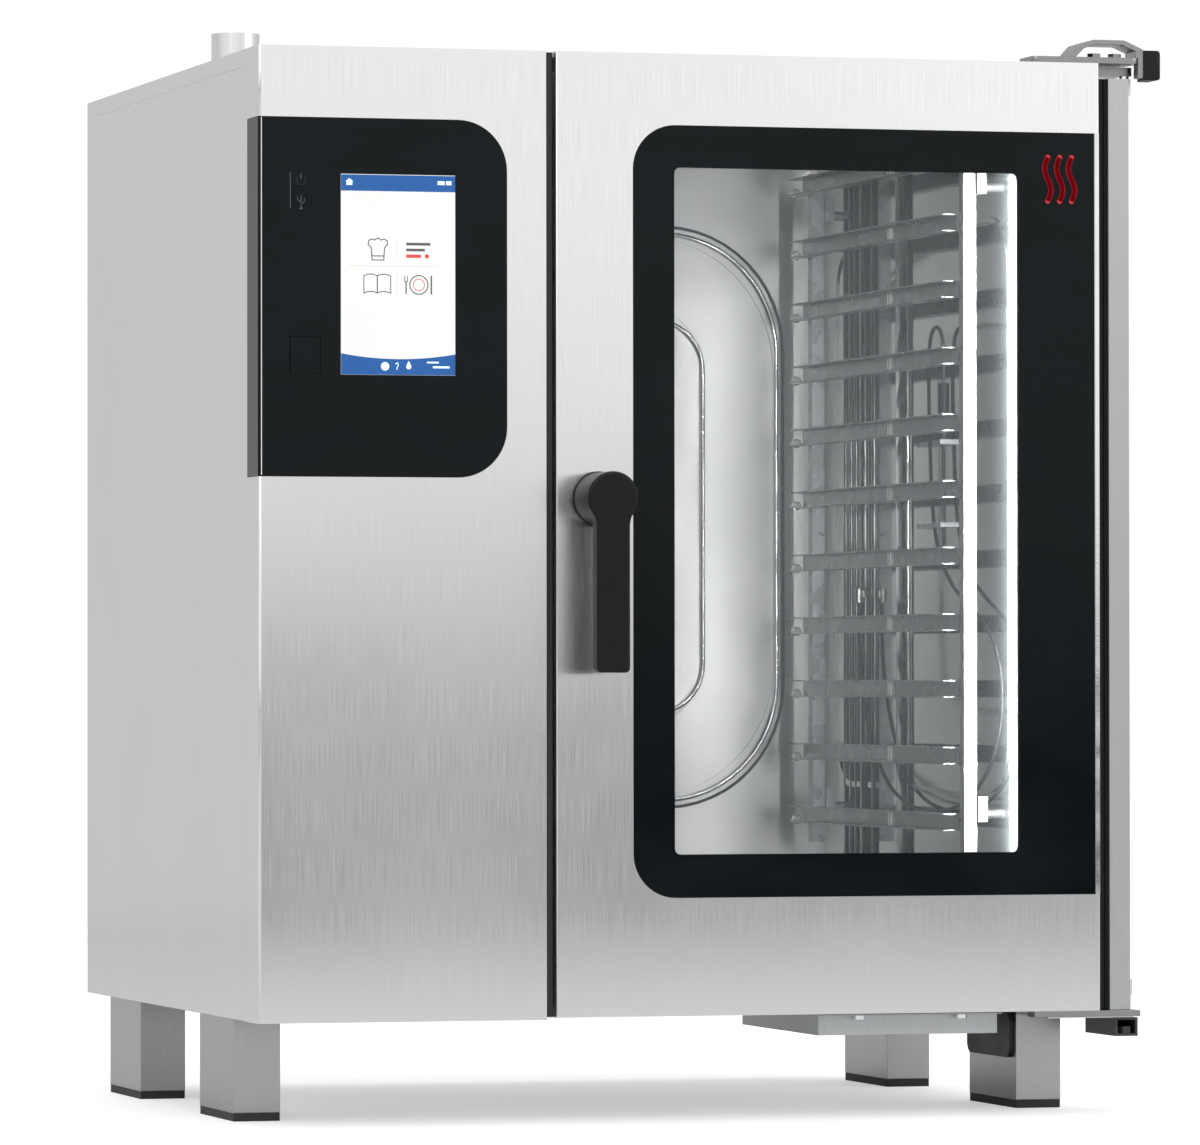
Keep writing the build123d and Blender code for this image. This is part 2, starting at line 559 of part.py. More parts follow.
pan_wall = 1.5
pan_window_x, pan_window_z = inset(inner_pane_x, -1), inset(inner_pane_z, -1)
bolt_y, bolt_z = (28, 36), (spindle_z - 7.5, spindle_z + 7.5)
with BuildPart() as door_pan:
    block(pan_x, (skin_depth, door_depth), pan_z)
    block(inset(pan_x, pan_wall), (skin_depth, door_depth - pan_wall), inset(pan_z, pan_wall), Mode.SUBTRACT)
    block(pan_window_x, (skin_depth, door_depth + 1), pan_window_z, Mode.SUBTRACT)
    block((pan_x[0] - 1, pan_x[0] + 3), inset(bolt_y, -0.5), inset(bolt_z, -0.5), Mode.SUBTRACT)
save(door_pan, "door_pan")

with BuildPart() as door_glass_border:
    front_plate(door_glass_x, door_glass_z, (0, glass_thick), door_glass_corner)
    block((700, door_glass_x[1]), (0, glass_thick), door_glass_z)
    front_plate(window_x, window_z, (-1, glass_thick + 1), 6, Mode.SUBTRACT)
save(door_glass_border, "door_glass_border")

with BuildPart() as window_pane:
    front_plate(window_x, window_z, (0, glass_thick), 6)
save(window_pane, "window_pane")

with BuildPart() as inner_pane:
    front_plate(inner_pane_x, inner_pane_z, (48.5, 53.5), 8)
save(inner_pane, "inner_pane")

with BuildPart() as inner_pane_clips:
    for z in (300, 600, 900):
        block((inner_pane_x[1] + 1.2, pan_x[1] - pan_wall), (40, 53), (z - 15, z + 15))
        block((inner_pane_x[0] - 14, inner_pane_x[0] - 1.2), (46, 53), (z - 12, z + 12))
save(inner_pane_clips, "inner_pane_clips")

with BuildPart() as glass_trim:
    block((door_glass_x[1] + 0.3, door_x[1] - 0.3), (-1.2, 0), door_glass_z)
save(glass_trim, "glass_trim")

with BuildPart() as hinge_column:
    block(column_x, column_y, column_z)
    block(inset(column_x, 2), (column_y[0] + 2, column_y[1] + 1), column_z, Mode.SUBTRACT)
save(hinge_column, "hinge_column")

with BuildPart() as column_seal:
    block((door_x[1] + 0.3, column_x[0] - 0.3), (9, 20), column_z)
    block((door_x[1] + 3, column_x[0] - 3), (8, 11), column_z, Mode.SUBTRACT)
save(column_seal, "column_seal")

plate_x, plate_thick = (800, 913), 6
with BuildPart() as top_hinge_plate:
    block(plate_x, (0, 46), (door_z[1], door_z[1] + plate_thick))
    fillet(top_hinge_plate.edges().filter_by(Axis.Z), 6)
    for x in (872, 894):
        with BuildSketch(Plane(origin=at(x, 20, door_z[1] + plate_thick), z_dir=up)):
            RegularPolygon(7, 6)
        extrude(amount=5)
save(top_hinge_plate, "top_hinge_plate")

with BuildPart() as bottom_hinge_plate:
    block(plate_x, (0, skin_depth - 0.2), (door_z[0] - plate_thick - 0.2, door_z[0]))
save(bottom_hinge_plate, "bottom_hinge_plate")

bow_face = Plane(origin=at(0, 36, 0), x_dir=(1, 0, 0), z_dir=(0, -1, 0))
bow_low, bow_high, bow_depth, strap, hook_x = door_z[1] + plate_thick, 1082, 32, 5, (913.4, 919.4)
with BuildPart() as hinge_bow:
    with BuildSketch(bow_face) as bow_outline:
        with BuildLine():
            Polyline(
                (838, bow_low), (850, bow_high - 5), (866, bow_high), (899, bow_high),
                (hook_x[1], bow_high - 9), (hook_x[1], bow_low), close=True,
            )
        make_face()
        fillet(bow_outline.vertices().group_by(Axis.Y)[-1], 12)
    extrude(amount=bow_depth)
    with BuildSketch(bow_face) as bow_eye:
        with BuildLine():
            Polyline((847, bow_low), (856, bow_high - 9), (868, bow_high - strap), (897, bow_high - strap),
                     (911, bow_high - 11), (911, bow_low), close=True)
        make_face()
        fillet(bow_eye.vertices().group_by(Axis.Y)[-1], 7)
    extrude(amount=bow_depth, mode=Mode.SUBTRACT)
    block(hook_x, (4, 36), (1044, bow_low))
    rod((hinge_x, hinge_y, 1030), 14, 29, up, Mode.SUBTRACT)
save(hinge_bow, "hinge_bow")

cap_x, cap_y, cap_z = (hook_x[1], total_width), (2, 30), (1042, 1072)
with BuildPart() as bow_end_cap:
    block(cap_x, cap_y, cap_z)
    fillet(bow_end_cap.edges().group_by(Axis.X)[-1], 5)
    rod((hinge_x, hinge_y, 1030), 14, 29, up, Mode.SUBTRACT)
save(bow_end_cap, "bow_end_cap")

guide_x = (hinge_x - door_travel - 10, 912)
guide_y = (hinge_y - rail_half, hinge_y + rail_half)
with BuildPart() as guide_rails:
    for tall, floor_up in ((guide_top_z, True), (guide_low_z, False)):
        block(guide_x, (skin_depth, guide_y[1]), tall)
        hollow = (tall[0] + rail_wall, tall[1]) if floor_up else (tall[0], tall[1] - rail_wall)
        block((guide_x[0] + 2, guide_x[1] + 1), inset(guide_y, rail_wall), hollow, Mode.SUBTRACT)
save(guide_rails, "guide_rails")

# ---- handle and latch ----
rose_depth = 12
with BuildPart() as handle_rose:
    rod((spindle_x, -rose_depth, spindle_z), rose_radius, rose_depth, back)
    fillet(handle_rose.edges().sort_by(Axis.Y)[:1], 3)
    rod((spindle_x, -rose_depth - 1, spindle_z), 5.5, rose_depth + 2, back, Mode.SUBTRACT)
save(handle_rose, "handle_rose")

grip_y = (-handle_reach, -handle_reach + grip_thick)
grip_face = Plane(origin=at(spindle_x, grip_y[1], spindle_z), x_dir=(1, 0, 0), z_dir=(0, -1, 0))
grip_drop = spindle_z - grip_end_z
with BuildPart() as handle_grip:
    with BuildSketch(grip_face) as grip_outline:
        Circle(head_radius)
        with Locations((0, -grip_drop / 2)):
            Rectangle(grip_width, grip_drop)
        neck = grip_outline.vertices().filter_by_position(Axis.Y, -head_radius, -1)
        fillet(neck, 20)
        fillet(grip_outline.vertices().group_by(Axis.Y)[0], 5)
    extrude(amount=grip_thick)
    fillet(handle_grip.faces().sort_by(Axis.Y)[0].edges(), 3.5)
    rod((spindle_x, grip_y[1], spindle_z), head_radius, -grip_y[1] - rose_depth - 0.4, back)
    rod((spindle_x, -40, spindle_z), 5, 40, back, Mode.SUBTRACT)
save(handle_grip, "handle_grip")

cam_offset, cam_radius, cam_y = 4, 8.2, (26, 44)
with BuildPart() as handle_spindle:
    rod((spindle_x, -40, spindle_z), 5, 40 + cam_y[0], back)
    rod((spindle_x - cam_offset, cam_y[0], spindle_z), cam_radius, cam_y[1] - cam_y[0], back)
save(handle_spindle, "handle_spindle")

bolt_x = (panel_width + 1.5, spindle_x - cam_offset - cam_radius - latch_gap)
with BuildPart() as latch_bolt:
    block(bolt_x, bolt_y, bolt_z)
    nose = latch_bolt.edges().filter_by(Axis.Z).group_by(Axis.X)[0]
    fillet(nose, 2.5)
save(latch_bolt, "latch_bolt")
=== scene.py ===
import json
import math

import bpy
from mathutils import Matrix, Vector

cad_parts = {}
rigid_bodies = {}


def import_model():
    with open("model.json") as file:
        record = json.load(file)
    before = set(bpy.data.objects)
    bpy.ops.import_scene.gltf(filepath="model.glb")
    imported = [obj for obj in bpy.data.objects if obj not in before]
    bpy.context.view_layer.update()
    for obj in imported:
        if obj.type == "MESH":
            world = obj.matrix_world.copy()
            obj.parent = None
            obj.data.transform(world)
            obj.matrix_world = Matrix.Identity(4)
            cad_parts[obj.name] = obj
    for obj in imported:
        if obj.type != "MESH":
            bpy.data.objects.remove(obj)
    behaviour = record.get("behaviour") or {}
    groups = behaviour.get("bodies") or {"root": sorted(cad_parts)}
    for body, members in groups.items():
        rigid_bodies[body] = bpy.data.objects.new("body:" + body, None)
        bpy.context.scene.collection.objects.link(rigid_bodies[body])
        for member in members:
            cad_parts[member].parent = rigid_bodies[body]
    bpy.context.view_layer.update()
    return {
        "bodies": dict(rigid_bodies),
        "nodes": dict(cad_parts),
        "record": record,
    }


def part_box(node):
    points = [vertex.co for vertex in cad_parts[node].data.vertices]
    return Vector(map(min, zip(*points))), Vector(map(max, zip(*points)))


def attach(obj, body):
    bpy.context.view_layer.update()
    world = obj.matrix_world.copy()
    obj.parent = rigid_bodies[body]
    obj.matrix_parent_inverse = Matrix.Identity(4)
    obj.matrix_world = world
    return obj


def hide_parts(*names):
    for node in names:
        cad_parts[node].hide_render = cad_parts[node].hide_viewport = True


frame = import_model()
nodes = frame["nodes"]

# The datum corner: left side, front face and floor of the cabinet, in metres.
DATUM = Vector((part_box("control_panel")[0][0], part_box("control_panel")[0][1], 0.0))


def at(x, y, z):
    """A place measured in millimetres from the datum corner, in the part's frame in metres."""
    return DATUM + Vector((x, y, z)) / 1000


# ---- camera, at the photograph's angle ----
YAW, PITCH, ROLL = 0.278620, 0.014004, -0.000999  # radians
CAMERA_PLACE = (-1725.02, -7242.63, 437.63)
FOCAL_PIXELS, PICTURE_PIXELS, SENSOR_WIDTH = 7626.27, 1200, 36
camera = bpy.data.objects.new("camera", bpy.data.cameras.new("camera"))
bpy.context.collection.objects.link(camera)
forward = Vector((math.sin(YAW) * math.cos(PITCH), math.cos(YAW) * math.cos(PITCH), math.sin(PITCH)))
level = Vector((math.cos(YAW), -math.sin(YAW), 0))
over = level.cross(forward)
axis_x = level * math.cos(ROLL) + over * math.sin(ROLL)
axis_y = over * math.cos(ROLL) - level * math.sin(ROLL)
rotation = camera.matrix_world.to_3x3()
for row in range(3):
    rotation[row] = (axis_x[row], axis_y[row], -forward[row])
camera.matrix_world = rotation.to_4x4()
camera.location = at(*CAMERA_PLACE)
camera.data.sensor_width = SENSOR_WIDTH
camera.data.lens = FOCAL_PIXELS / PICTURE_PIXELS * SENSOR_WIDTH
camera.data.clip_end = 100
bpy.context.scene.camera = camera

# ---- the core probe's lead ----
LEAD_X, LEAD_DIAMETER, LEAD_LENGTH = 799, 0.004, 1.25
# (Y, Z) places in millimetres, from the probe's handle to the fitting in the wall.
LEAD_ROUTE = [
    (281, 745), (281, 764), (282, 786), (288, 798), (298.5, 804.5), (310.5, 804.5), (321, 798), (327, 786),
    (329, 766), (329.5, 743), (328, 714), (325, 680), (322, 640), (314, 598), (291, 560), (252, 533),
    (205, 515), (158, 499), (116, 474), (94, 437), (97, 394), (122, 356), (163, 329), (211, 311),
    (262, 302), (315, 299), (369, 301), (421, 309), (469, 326), (510, 355), (541, 394), (561, 438),
    (568, 480), (568, 520),
]
lead_curve = bpy.data.curves.new("probe_lead", "CURVE")
lead_curve.dimensions = "3D"
lead_curve.bevel_depth = 1.0  # times each point's radius
lead_curve.bevel_resolution = 3
lead_curve.use_fill_caps = True
lead_line = lead_curve.splines.new("NURBS")
lead_line.points.add(len(LEAD_ROUTE) - 1)
for point, (y, z) in zip(lead_line.points, LEAD_ROUTE):
    point.co = (*at(LEAD_X, y, z), 1)
    point.radius = LEAD_DIAMETER / 2
lead_line.order_u = 3
lead_line.use_endpoint_u = True
lead_line.resolution_u = 8
probe_lead = bpy.data.objects.new("probe_lead", lead_curve)
bpy.context.collection.objects.link(probe_lead)
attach(probe_lead, "cabinet")
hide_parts("core_probe_cable")


# ---- materials ----
def new_material(name, colour, roughness, metallic=0.0, **inputs):
    """A Principled material with its uniform values on its own sockets."""
    mat = bpy.data.materials.new(name)
    mat.use_nodes = True
    shader = mat.node_tree.nodes["Principled BSDF"]
    shader.inputs["Base Color"].default_value = (*colour, 1)
    shader.inputs["Roughness"].default_value = roughness
    shader.inputs["Metallic"].default_value = metallic
    for key, value in inputs.items():
        shader.inputs[key.replace("_", " ")].default_value = value
    mat.diffuse_color = (*colour, 1)
    return mat, mat.node_tree, shader


def pattern(tree, scale, stretch=(1, 1, 1), detail=3.0, kind="ShaderNodeTexNoise"):
    """A noise or cell pattern in the object's own coordinates, stretched along chosen axes."""
    coords = tree.nodes.new("ShaderNodeTexCoord")
    mapping = tree.nodes.new("ShaderNodeMapping")
    mapping.inputs["Scale"].default_value = stretch
    texture = tree.nodes.new(kind)
    texture.inputs["Scale"].default_value = scale
    if kind == "ShaderNodeTexNoise":
        texture.inputs["Detail"].default_value = detail
        texture.inputs["Roughness"].default_value = 0.55
    tree.links.new(coords.outputs["Object"], mapping.inputs["Vector"])
    tree.links.new(mapping.outputs["Vector"], texture.inputs["Vector"])
    return texture.outputs["Distance" if kind == "ShaderNodeTexVoronoi" else "Fac"]


def spread(tree, value, low, high, start=0.3, end=0.7):
    """The pattern's value carried to a range."""
    node = tree.nodes.new("ShaderNodeMapRange")
    node.inputs["From Min"].default_value = start
    node.inputs["From Max"].default_value = end
    node.inputs["To Min"].default_value = low
    node.inputs["To Max"].default_value = high
    tree.links.new(value, node.inputs["Value"])
    return node.outputs["Result"]


def tint(tree, value, low, high, shader, start=0.3, end=0.7):
    """The base colour varies between two colours with a pattern."""
    ramp = tree.nodes.new("ShaderNodeValToRGB")
    ramp.color_ramp.elements[0].position = start
    ramp.color_ramp.elements[1].position = end
    ramp.color_ramp.elements[0].color = (*low, 1)
    ramp.color_ramp.elements[1].color = (*high, 1)
    tree.links.new(value, ramp.inputs["Fac"])
    tree.links.new(ramp.outputs["Color"], shader.inputs["Base Color"])


def total(tree, first, second):
    """The sum of two values."""
    node = tree.nodes.new("ShaderNodeMath")
    node.operation = "ADD"
    tree.links.new(first, node.inputs[0])
    tree.links.new(second, node.inputs[1])
    return node.outputs[0]


def bump(tree, value, shader, strength, distance):
    """Fine surface relief from a pattern."""
    node = tree.nodes.new("ShaderNodeBump")
    node.inputs["Strength"].default_value = strength
    node.inputs["Distance"].default_value = distance
    tree.links.new(value, node.inputs["Height"])
    tree.links.new(node.outputs["Normal"], shader.inputs["Normal"])


def shade(colour, factor):
    """A colour made darker or lighter."""
    return tuple(min(1.0, c * factor) for c in colour)


def brushed(name, colour, roughness, spread_by=0.035, anisotropy=0.9):
    """Brushed metal with an upright grain."""
    mat, tree, shader = new_material(name, colour, roughness, 1.0, Anisotropic=anisotropy)
    lines = pattern(tree, 1500, (1, 1, 0.012), 4)
    clouds = pattern(tree, 5, (1, 1, 1), 3)
    tint(tree, lines, shade(colour, 0.945), shade(colour, 1.05), shader)
    mixed = total(tree, spread(tree, lines, roughness - spread_by, roughness + spread_by),
                  spread(tree, clouds, -0.015, 0.02))
    tree.links.new(mixed, shader.inputs["Roughness"])
    bump(tree, lines, shader, 0.035, 0.0002)
    if anisotropy:
        tangent = tree.nodes.new("ShaderNodeTangent")
        tangent.direction_type = "RADIAL"
        tangent.axis = "Z"
        tree.links.new(tangent.outputs["Tangent"], shader.inputs["Tangent"])
    return mat


def polished(name, colour):
    """Polished sheet that is slightly wavy, and duller where it faces front or back; its colour is painted
    lighter where it faces front or back and darker where it faces sideways, as painted light and shade.
    """
    mat, tree, shader = new_material(name, colour, 0.07, 1.0)
    clouds = pattern(tree, 9, (1, 1, 1), 4)
    coords = tree.nodes.new("ShaderNodeTexCoord")
    facing = tree.nodes.new("ShaderNodeSeparateXYZ")
    tree.links.new(coords.outputs["Normal"], facing.inputs["Vector"])
    across = tree.nodes.new("ShaderNodeMath")
    across.operation = "ABSOLUTE"
    tree.links.new(facing.outputs["Y"], across.inputs[0])
    # Random mottle plus painted shade by facing: sideways faces are painted darker, faces towards front or
    # back lighter.
    mottle_and_facing_shade = total(tree, spread(tree, clouds, -0.12, 0.10),
                   spread(tree, across.outputs[0], 0.1, 0.9, 0.3, 0.9))
    tint(tree, mottle_and_facing_shade, shade(colour, 0.42), shade(colour, 1.04), shader, 0.0, 1.0)
    haze = total(tree, spread(tree, across.outputs[0], 0.0, 0.24, 0.6, 1.0),
                 spread(tree, clouds, 0.045, 0.10))
    tree.links.new(haze, shader.inputs["Roughness"])
    bump(tree, pattern(tree, 4.5, (1, 1, 0.3), 1), shader, 0.5, 0.005)
    return mat


def moulded(name, colour, roughness, grain=1400, depth=0.00008, **inputs):
    """Moulded plastic or rubber with a fine grain and slight wear."""
    mat, tree, shader = new_material(name, colour, roughness, 0.0, **inputs)
    fine = pattern(tree, grain, (1, 1, 1), 2)
    clouds = pattern(tree, 14, (1, 1, 1), 4)
    tint(tree, clouds, shade(colour, 0.8), shade(colour, 1.25), shader)
    tree.links.new(spread(tree, clouds, roughness - 0.05, roughness + 0.06), shader.inputs["Roughness"])
    bump(tree, fine, shader, 0.35, depth)
    return mat


def glossy_black(name, colour):
    """Black printed glass with faint wiping marks."""
    mat, tree, shader = new_material(name, colour, 0.10, 0.0, Specular_IOR_Level=0.12)
    marks = pattern(tree, 7, (1, 1, 2.4), 5)
    tree.links.new(spread(tree, marks, 0.05, 0.12), shader.inputs["Roughness"])
    tint(tree, marks, shade(colour, 0.85), shade(colour, 1.2), shader)
    return mat


def clear_pane(name):
    """Clear glass with a trace of wiping marks."""
    mat, tree, shader = new_material(name, (0.30, 0.34, 0.35), 0.03, 0.0, IOR=1.5)
    shader.inputs["Alpha"].default_value = 0.07
    marks = pattern(tree, 6, (1, 1, 2), 5)
    tree.links.new(spread(tree, marks, 0.02, 0.07), shader.inputs["Roughness"])
    return mat


def galvanised(name, colour):
    """Zinc-coated sheet with a soft spangle."""
    mat, tree, shader = new_material(name, colour, 0.42, 0.85)
    cells = pattern(tree, 150, (1, 1, 1), kind="ShaderNodeTexVoronoi")
    tint(tree, cells, shade(colour, 0.94), shade(colour, 1.04), shader, 0.0, 0.6)
    tree.links.new(spread(tree, cells, 0.38, 0.46, 0.0, 0.6), shader.inputs["Roughness"])
    return mat


def cast_metal(name, colour, roughness, metallic=1.0):
    """Cast or machined metal with a sandy surface."""
    mat, tree, shader = new_material(name, colour, roughness, metallic)
    sand = pattern(tree, 500, (1, 1, 1), 3)
    clouds = pattern(tree, 25, (1, 1, 1), 3)
    tint(tree, clouds, shade(colour, 0.88), shade(colour, 1.06), shader)
    tree.links.new(spread(tree, clouds, roughness - 0.05, roughness + 0.07), shader.inputs["Roughness"])
    bump(tree, sand, shader, 0.25, 0.0001)
    return mat


def wool(name):
    """Pressed mineral wool."""
    mat, tree, shader = new_material(name, (0.70, 0.62, 0.42), 0.95, 0.0, Sheen_Weight=0.3)
    fibre = pattern(tree, 120, (1, 4, 1), 6)
    tint(tree, fibre, (0.55, 0.47, 0.28), (0.80, 0.72, 0.52), shader)
    bump(tree, fibre, shader, 0.8, 0.002)
    return mat


def lit(name, colour, strength):
    """A lit part of the display behind the glass; also used for the painted glow on the red door mark and a
    painted highlight on the control glass's edge.
    """
    mat, tree, shader = new_material(name, colour, 0.25, 0.0, Emission_Strength=strength)
    shader.inputs["Emission Color"].default_value = (*colour, 1)
    fade = pattern(tree, 9, (1, 1, 1), 1)
    tint(tree, fade, shade(colour, 0.97), shade(colour, 1.02), shader)
    return mat


MATERIALS = {
    "brushed_stainless": brushed("brushed_stainless", (0.79, 0.795, 0.79), 0.20, spread_by=0.025),
    "leg_steel": brushed("leg_steel", (0.42, 0.43, 0.43), 0.30, anisotropy=0.5),
    "satin_stainless": brushed("satin_stainless", (0.78, 0.78, 0.77), 0.24, anisotropy=0.0),
    # Painted shade: the racks' stainless gets a much darker colour than the chamber's stainless.
    "rack_steel": cast_metal("rack_steel", (0.29, 0.295, 0.30), 0.28, 0.6),
    "chamber_stainless": polished("chamber_stainless", (0.70, 0.705, 0.705)),
    # A lighter stainless; on the pressed beads and the rack's knobs and stops it is painted highlight.
    "bright_stainless": cast_metal("bright_stainless", (0.92, 0.925, 0.925), 0.16),
    "chrome": cast_metal("chrome", (0.86, 0.87, 0.88), 0.10),
    "galvanised": galvanised("galvanised", (0.55, 0.565, 0.58)),
    "column_grey": brushed("column_grey", (0.47, 0.48, 0.485), 0.36, anisotropy=0.4),
    "hinge_steel": brushed("hinge_steel", (0.30, 0.305, 0.31), 0.30, anisotropy=0.0),
    "hinge_black": moulded("hinge_black", (0.004, 0.004, 0.0045), 0.42, Specular_IOR_Level=0.25),
    "black_glass": glossy_black("black_glass", (0.004, 0.006, 0.007)),
    "clear_glass": clear_pane("clear_glass"),
    "screen_glass": lit("screen_glass", (0.80, 0.82, 0.80), 0.35),
    "black_plastic": moulded("black_plastic", (0.012, 0.012, 0.013), 0.45),
    "handle_plastic": moulded("handle_plastic", (0.0035, 0.004, 0.0045), 0.34, 1800, 0.00004,
                              Specular_IOR_Level=0.22),
    "dark_steel": moulded("dark_steel", (0.045, 0.045, 0.05), 0.4, 700, 0.0001),
    "gasket_rubber": moulded("gasket_rubber", (0.018, 0.018, 0.019), 0.62, 900, 0.0001),
    "silicone_lead": moulded("silicone_lead", (0.015, 0.015, 0.015), 0.5, 1200, 0.00005),
    "mineral_wool": wool("mineral_wool"),
    "module_grey": moulded("module_grey", (0.03, 0.09, 0.05), 0.5, 300, 0.0003),
    "cast_aluminium": cast_metal("cast_aluminium", (0.70, 0.71, 0.72), 0.38),
    "brass": cast_metal("brass", (0.72, 0.53, 0.26), 0.28),
}
# Nodes whose look in the photograph differs from their slot's usual finish.
FINISH_OF_NODE = {
    # The racks and chamber fittings take the darker rack steel, as painted shade.
    "left_rack": "rack_steel", "right_rack": "rack_steel", "chamber_fittings": "rack_steel",
    "usb_flap": "black_glass", "legs": "leg_steel", "hinge_bow": "hinge_steel",
    "top_hinge_plate": "hinge_steel", "bottom_hinge_plate": "hinge_steel", "top_hinge_arm": "hinge_steel",
    "bow_end_cap": "hinge_black", "column_seal": "hinge_black",
}
slot_of_node = {part["node"]: part["material_slot"] for part in frame["record"]["subparts"]}
lead_curve.materials.append(MATERIALS["silicone_lead"])
for name, node in nodes.items():
    for place in node.material_slots:
        place.material = MATERIALS[FINISH_OF_NODE.get(name, slot_of_node[name])]

# Folded and moulded edges are slightly round, so they catch the light. Radii are in metres.
EDGE_ROUNDING = {
    0.0009: ["control_panel", "front_frame", "left_side_panel", "right_side_panel", "top_cover",
             "door_skin", "hinge_column", "underside_box", "legs", "top_hinge_plate", "bottom_hinge_plate"],
    0.0006: ["control_glass", "door_glass_border", "leg_cover", "hinge_bow", "bow_end_cap", "usb_flap"],
    0.0003: ["right_rack", "left_rack", "glass_trim"],
}


def rounded_edges(piece, width):
    """A two-segment bevel on a piece's edges."""
    rounding = piece.modifiers.new("rounding", "BEVEL")
    rounding.width = width
    rounding.segments = 2
    rounding.harden_normals = True
    return rounding


for width, names in EDGE_ROUNDING.items():
    for name in names:
        merge = nodes[name].modifiers.new("merge", "WELD")
        merge.merge_threshold = 0.00001
        rounding = rounded_edges(nodes[name], width)
        rounding.limit_method = "ANGLE"
        rounding.angle_limit = math.radians(40)

SCREEN = {
    "blue": lit("display_blue", (0.008, 0.085, 0.30), 0.35),
    "paper": lit("display_paper", (0.74, 0.75, 0.73), 0.30),
    "ink": lit("display_ink", (0.10, 0.095, 0.10), 0.2),
    # This lit line colour also paints a highlight on the control glass's edge.
    "line": lit("display_line_and_painted_highlight", (0.62, 0.62, 0.58), 0.3),
    "red": lit("display_red", (0.62, 0.05, 0.05), 0.4),
    "pale": lit("display_pale", (0.62, 0.80, 0.95), 0.6),
    "glow": lit("panel_mark", (0.055, 0.065, 0.07), 0.25),
    # The red door mark is print; its emission is a painted glow.
    "door_red": lit("door_mark_painted_glow", (0.55, 0.012, 0.03), 0.12),
}


# ---- flat marks on the front ----
def polygons(name, shapes, depth, thick, material, body):
    """A thin printed or lit mark made of closed outlines in the front plane, in millimetres."""
    verts, faces = [], []
    for outline in shapes:
        first = len(verts)
        count = len(outline)
        verts += [at(x, depth, z) for x, z in outline]
        verts += [at(x, depth + thick, z) for x, z in outline]
        faces.append([first + i for i in range(count)])
        faces.append([first + count + i for i in reversed(range(count))])
        faces += [
            [first + i, first + count + i, first + count + (i + 1) % count, first + (i + 1) % count]
            for i in range(count)
        ]
    mesh = bpy.data.meshes.new(name)
    mesh.from_pydata(verts, [], faces)
    mesh.materials.append(material)
    piece = bpy.data.objects.new(name, mesh)
    bpy.context.collection.objects.link(piece)
    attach(piece, body)


def rectangle(x, z):
    """A rectangle's corners from its (low, high) spans along X and Z."""
    return [(x[0], z[0]), (x[1], z[0]), (x[1], z[1]), (x[0], z[1])]


def circle(x, z, radius, count=36, start=0.0, turn=2 * math.pi):
    """Points on a circle or an arc, counterclockwise from an angle."""
    return [
        (x + radius * math.cos(start + turn * i / count), z + radius * math.sin(start + turn * i / count))
        for i in range(count)
    ]


def stroke(points, width, closed=False):
    """Short quads and round joints along a line, so the line has a constant width."""
    shapes = []
    pairs = list(zip(points, points[1:])) + ([(points[-1], points[0])] if closed else [])
    for (x0, z0), (x1, z1) in pairs:
        length = math.hypot(x1 - x0, z1 - z0) or 1
        nx, nz = -(z1 - z0) / length * width / 2, (x1 - x0) / length * width / 2
        shapes.append([(x0 - nx, z0 - nz), (x1 - nx, z1 - nz), (x1 + nx, z1 + nz), (x0 + nx, z0 + nz)])
    shapes += [circle(x, z, width / 2, 10) for x, z in points]
    return shapes


def wave(x, z, height, swing, count=18):
    """A slow S-shaped line that rises from a place."""
    return [(x + swing * math.sin(2 * math.pi * i / count), z + height * i / count) for i in range(count + 1)]


# The screen's picture: a white page between two blue bars, the lower one with a curved upper edge.
SCREEN_FRONT = -1.0
SCREEN_X, SCREEN_LOW, PAGE_TOP, SCREEN_TOP = (83.2, 198.8), 736.3, 916.4, 932.3
ARC_Z, ARC_DIP, ARC_HALF = 757, 5.2, 12
arc = [
    (SCREEN_X[0] + (SCREEN_X[1] - SCREEN_X[0]) * i / (2 * ARC_HALF),
     ARC_Z - ARC_DIP * (1 - ((i - ARC_HALF) / ARC_HALF) ** 2))
    for i in range(2 * ARC_HALF + 1)
]
lower_bar = [(SCREEN_X[0], SCREEN_LOW), *arc, (SCREEN_X[1], SCREEN_LOW)]


def on_screen(name, shapes, lift, thick, colour):
    """Shapes on the screen, as far in front of its glass as lift says, in millimetres."""
    polygons(name, shapes, SCREEN_FRONT - lift, thick, SCREEN[colour], "cabinet")


def moved(x, z, points):
    """Points measured from a place."""
    return [(x + u, z + v) for u, v in points]


on_screen("screen_paper", [rectangle(SCREEN_X, (SCREEN_LOW, PAGE_TOP))], 0.05, 0.05, "paper")
on_screen("screen_bars", [rectangle(SCREEN_X, (PAGE_TOP, SCREEN_TOP)), lower_bar], 0.1, 0.1, "blue")
on_screen("screen_dividers", [rectangle((91.5, 187), (842.6, 843.4)), rectangle((139.4, 140.1), (849, 872)),
                              rectangle((139.4, 140.1), (815, 838))], 0.12, 0.06, "line")

HAT, BOOK, PLATE = (120.4, 859.8), (119.8, 825.3), (161.9, 824.9)
hat_crown = [(-6.2, -7), (-6.8, 1.2), (-9.8, 4.2), (-9.2, 8.2), (-5.6, 9.6), (-3.4, 8.6), (0, 10.6),
             (3.4, 8.6), (5.6, 9.6), (9.2, 8.2), (9.8, 4.2), (6.8, 1.2), (6.2, -7)]
hat_band = [(-6.1, -7), (-6.1, -11), (6.1, -11), (6.1, -7)]
page = [(0, -9), (4, -7.4), (9, -7.4), (13.6, -9), (13.6, 8), (9, 9.6), (4, 9.6), (0, 8)]
icons = stroke(moved(*HAT, hat_crown), 1.0, True)
icons += stroke(moved(*HAT, hat_band), 1.0)
icons += stroke(moved(*BOOK, page), 0.9, True)
icons += stroke(moved(*BOOK, [(-u, v) for u, v in page]), 0.9, True)
